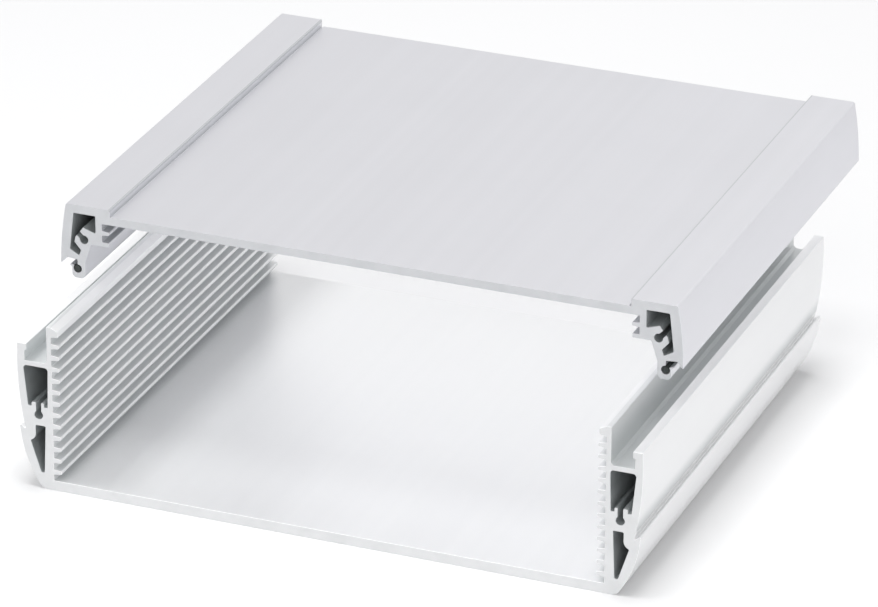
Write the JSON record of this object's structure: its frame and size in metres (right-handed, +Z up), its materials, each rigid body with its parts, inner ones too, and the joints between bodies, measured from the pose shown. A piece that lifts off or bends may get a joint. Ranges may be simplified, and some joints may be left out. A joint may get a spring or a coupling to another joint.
{
  "type": "aluminium profile enclosure",
  "caption": "Extruded aluminium circuit-board enclosure: a ribbed U-shaped base profile with hooked side channels, and a flat lid profile with sealing cords, lifted off the base.",
  "frame": {"origin": "middle of the base profile's underside", "axes": "+X across the width, +Y along the extrusion to the back, +Z up out of the underside towards the lid"},
  "size_m": [0.1816, 0.1796, 0.0726],
  "materials": {
    "base_finish": "pale satin coat",
    "lid_finish": "pale satin coat",
    "seal_rubber": "matte"
  },
  "bodies": {
    "base": {"base_profile": "base_finish"},
    "lid": {"lid_profile": "lid_finish", "seal_left": "seal_rubber", "seal_right": "seal_rubber"}
  },
  "joints": [
    {"name": "lid_lift_off", "type": "slide", "parent": "base", "child": "lid", "axis": [0, 0.9435, 0.3315], "range_m": [-0.03137, 0.06]}
  ]
}
